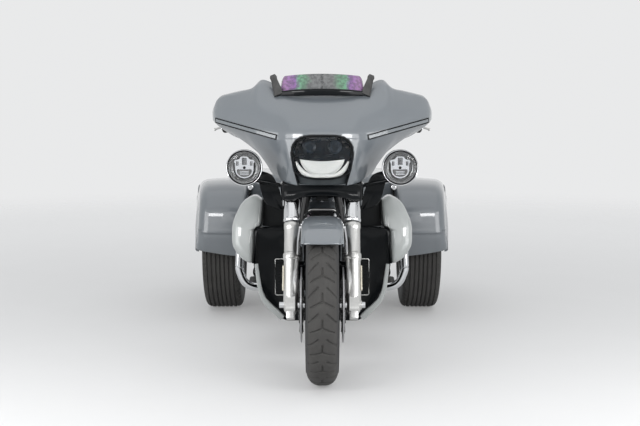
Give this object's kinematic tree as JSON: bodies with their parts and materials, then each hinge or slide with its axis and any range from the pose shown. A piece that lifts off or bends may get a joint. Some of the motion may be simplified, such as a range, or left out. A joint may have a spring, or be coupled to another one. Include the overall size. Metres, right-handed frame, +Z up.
{
  "type": "motorized trike",
  "caption": "Touring trike with a steered front wheel, fork-mounted fairing, chrome engine guards, wide rear fenders and a rear trunk with a drop-down door.",
  "frame": {"origin": "on the ground, at the centre of the overall length and the overall width", "axes": "+Z up, -Y towards the front wheel, +X towards the rider's left"},
  "size_m": [1.3846, 2.67, 1.2416],
  "materials": {
    "tyre": "matte",
    "wheel_black": "gloss",
    "brake_steel": "brushed",
    "chrome": "polished",
    "body_paint": "metallic gloss",
    "black_plastic": "satin",
    "black_gloss": "gloss",
    "screen": "tinted",
    "lens": "clear",
    "red_lens": "gloss",
    "seat_leather": "grained",
    "frame_black": "gloss",
    "engine_grey": "satin",
    "rubber": "matte"
  },
  "bodies": {
    "chassis": {"frame": "frame_black", "engine_cases": "engine_grey", "engine_cylinders": "engine_grey", "engine_covers": "chrome", "air_cleaner": "chrome", "radiator_shroud": "black_plastic", "radiator": "frame_black", "left_lower_fairing": "body_paint", "right_lower_fairing": "body_paint", "engine_guard": "chrome", "fuel_tank": "body_paint", "rider_seat": "seat_leather", "passenger_seat": "seat_leather", "side_covers": "body_paint", "exhaust_pipes": "chrome", "mufflers": "chrome", "floorboards": "rubber", "foot_controls": "chrome", "left_rear_fender": "body_paint", "right_rear_fender": "body_paint", "trunk_tub": "body_paint", "rear_bumper": "black_plastic", "tail_lamps": "red_lens", "rear_axle_housing": "frame_black", "drive_belt": "rubber", "rear_suspension": "frame_black"},
    "front_fork": {"fork_sliders": "chrome", "fork_covers": "chrome", "front_axle": "chrome", "triple_clamps": "black_gloss", "brake_calipers": "brake_steel", "front_fender": "body_paint", "fairing_outer": "body_paint", "fairing_inner": "black_plastic", "headlight_housing": "black_gloss", "headlight_lens": "lens", "passing_lamps": "chrome", "windshield": "screen", "handlebar": "chrome", "hand_controls": "rubber", "mirrors": "black_gloss", "fairing_skirt": "black_gloss", "windshield_trim": "black_plastic"},
    "front_wheel": {"front_tyre": "tyre", "front_rim": "wheel_black", "front_brake_discs": "brake_steel"},
    "left_rear_wheel": {"left_rear_tyre": "tyre", "left_rear_rim": "wheel_black"},
    "right_rear_wheel": {"right_rear_tyre": "tyre", "right_rear_rim": "wheel_black"},
    "trunk_door": {"trunk_door": "body_paint"}
  },
  "joints": [
    {"name": "steering", "type": "hinge", "parent": "chassis", "child": "front_fork", "pos_m": [0, -0.96037, 0.319], "axis": [0, 0.4384, 0.8988], "range_deg": [-32, 32]},
    {"name": "front_wheel_spin", "type": "hinge", "parent": "front_fork", "child": "front_wheel", "pos_m": [0, -1.016, 0.319], "axis": [1, 0, 0], "continuous": true},
    {"name": "left_rear_wheel_spin", "type": "hinge", "parent": "chassis", "child": "left_rear_wheel", "pos_m": [0.531, 0.654, 0.325], "axis": [1, 0, 0], "continuous": true},
    {"name": "right_rear_wheel_spin", "type": "hinge", "parent": "chassis", "child": "right_rear_wheel", "pos_m": [-0.531, 0.654, 0.325], "axis": [1, 0, 0], "continuous": true},
    {"name": "trunk_door_hinge", "type": "hinge", "parent": "chassis", "child": "trunk_door", "pos_m": [0, 1.322, 0.452], "axis": [-1, 0, 0], "range_deg": [0, 85]}
  ]
}
